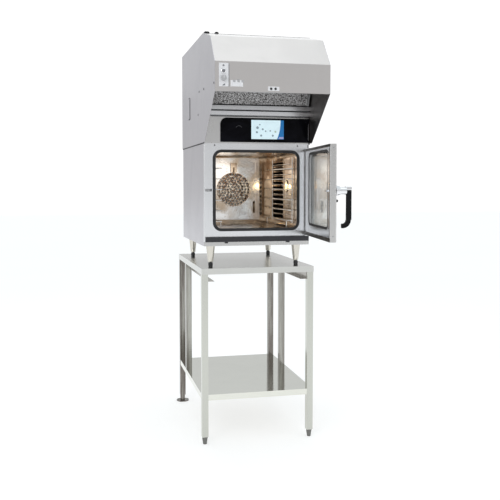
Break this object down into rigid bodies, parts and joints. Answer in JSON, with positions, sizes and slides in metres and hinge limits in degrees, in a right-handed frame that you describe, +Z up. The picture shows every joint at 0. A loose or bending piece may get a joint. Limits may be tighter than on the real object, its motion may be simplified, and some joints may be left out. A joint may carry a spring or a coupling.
{
  "type": "combi steamer oven",
  "caption": "Compact combi steamer oven with an open side-hung door, on an open steel stand with a shelf, under an extraction hood with grease filter and spigot.",
  "frame": {"origin": "on the floor, under the middle of the whole object's bounding box with the door as it stands open", "axes": "+Z up; -Y is the oven's front, towards the cook; +X is to the right as seen from the front"},
  "size_m": [0.6259, 1.3762, 2.104],
  "materials": {
    "stand_steel": "satin",
    "sheet_steel": "satin",
    "side_steel": "satin",
    "bright_steel": "bright",
    "cavity_steel": "polished, warm",
    "guard_steel": "polished, heat tinted",
    "rack_wire": "polished",
    "hood_steel": "satin",
    "galvanised": "matt",
    "foot_plastic": "matt",
    "leg_tip": "semi-matt",
    "wool": "fibrous",
    "gasket": "matt",
    "fan_aluminium": "cast",
    "shaft_steel": "turned",
    "motor_paint": "satin",
    "heater_sheath": "oxidised",
    "lamp_glass": "frosted",
    "black_glass": "gloss",
    "display": "lit",
    "circuit": "matt",
    "black_tray": "satin",
    "screw_steel": "matt",
    "brass": "turned",
    "black_plastic": "matt",
    "door_glass": "clear",
    "handle_chrome": "polished",
    "filter_steel": "knitted",
    "label": "gloss",
    "knob": "satin"
  },
  "bodies": {
    "carcase": {"stand_posts": "stand_steel", "stand_top": "sheet_steel", "stand_shelf": "sheet_steel", "tray_runners": "sheet_steel", "levelling_feet": "foot_plastic", "flanged_feet": "stand_steel", "oven_legs": "bright_steel", "oven_leg_tips": "leg_tip", "base_pan": "sheet_steel", "side_panels": "side_steel", "front_frame": "bright_steel", "rear_cover": "galvanised", "upper_casing": "sheet_steel", "insulation": "wool", "cavity_liner": "cavity_steel", "door_gasket": "gasket", "fan_baffle": "cavity_steel", "fan_guard": "guard_steel", "fan_motor": "motor_paint", "ring_heater": "heater_sheath", "water_injector": "cavity_steel", "side_air_panel": "cavity_steel", "cavity_lamp": "lamp_glass", "drain_pipe": "bright_steel", "control_fascia": "sheet_steel", "control_glass": "black_glass", "touch_display": "display", "control_board": "circuit", "panel_screws": "screw_steel", "latch_strike": "shaft_steel", "hinge_brackets": "bright_steel", "water_inlet": "brass", "cable_gland": "black_plastic", "hood_sides": "side_steel", "hood_canopy": "hood_steel", "hood_roof": "sheet_steel", "hood_floor": "galvanised", "grease_gutter": "bright_steel", "exhaust_motor": "motor_paint", "exhaust_housing": "galvanised", "hood_labels": "label"},
    "door": {"door_shell": "sheet_steel", "door_inner_frame": "bright_steel", "door_glass_seal": "gasket", "door_inner_glass": "door_glass", "door_outer_glass": "door_glass", "handle_flange": "handle_chrome"},
    "handle": {"handle_neck": "handle_chrome", "handle_grip": "black_plastic", "latch_hook": "shaft_steel"},
    "oven_fan": {"fan_wheel": "fan_aluminium", "fan_shaft": "shaft_steel"},
    "exhaust_fan": {"exhaust_wheel": "galvanised"},
    "left_rack": {"rack_left": "rack_wire"},
    "right_rack": {"rack_right": "rack_wire"},
    "grease_filter": {"filter_frame": "bright_steel", "filter_mesh": "filter_steel"},
    "tray": {"drip_tray": "black_tray"},
    "button": {"hood_button": "knob"},
    "dial": {"hood_dial": "knob"}
  },
  "joints": [
    {"name": "door_hinge", "type": "hinge", "parent": "carcase", "child": "door", "pos_m": [0.26332, -0.15939, 1.276], "axis": [0, 0, 1], "range_deg": [-84.4, 28]},
    {"name": "handle_turn", "type": "hinge", "parent": "door", "child": "handle", "pos_m": [0.23703, -0.66323, 1.287], "axis": [-0.9952, 0.0976, 0], "range_deg": [-45, 45], "stiffness_Nm_per_rad": 0.8},
    {"name": "oven_fan_spin", "type": "hinge", "parent": "carcase", "child": "oven_fan", "pos_m": [-0.01568, 0.41011, 1.287], "axis": [0, 1, 0], "continuous": true},
    {"name": "exhaust_fan_spin", "type": "hinge", "parent": "carcase", "child": "exhaust_fan", "pos_m": [0.00232, 0.28811, 2.004], "axis": [0, 0, 1], "continuous": true},
    {"name": "left_rack_lift_out", "type": "slide", "parent": "carcase", "child": "left_rack", "axis": [1, 0, 0], "range_m": [0, 0.08]},
    {"name": "right_rack_lift_out", "type": "slide", "parent": "carcase", "child": "right_rack", "axis": [-1, 0, 0], "range_m": [0, 0.08]},
    {"name": "filter_lift_out", "type": "slide", "parent": "carcase", "child": "grease_filter", "axis": [0, -0.5, 0.866], "range_m": [0, 0.12]},
    {"name": "drip_tray_pull", "type": "slide", "parent": "carcase", "child": "tray", "axis": [0, -1, 0], "range_m": [0, 0.1]},
    {"name": "button_press", "type": "slide", "parent": "carcase", "child": "button", "axis": [0, 1, 0], "range_m": [0, 0.003], "stiffness_N_per_m": 400},
    {"name": "dial_turn", "type": "hinge", "parent": "carcase", "child": "dial", "pos_m": [-0.23468, -0.46189, 1.802], "axis": [0, 1, 0], "range_deg": [-135, 135]}
  ]
}
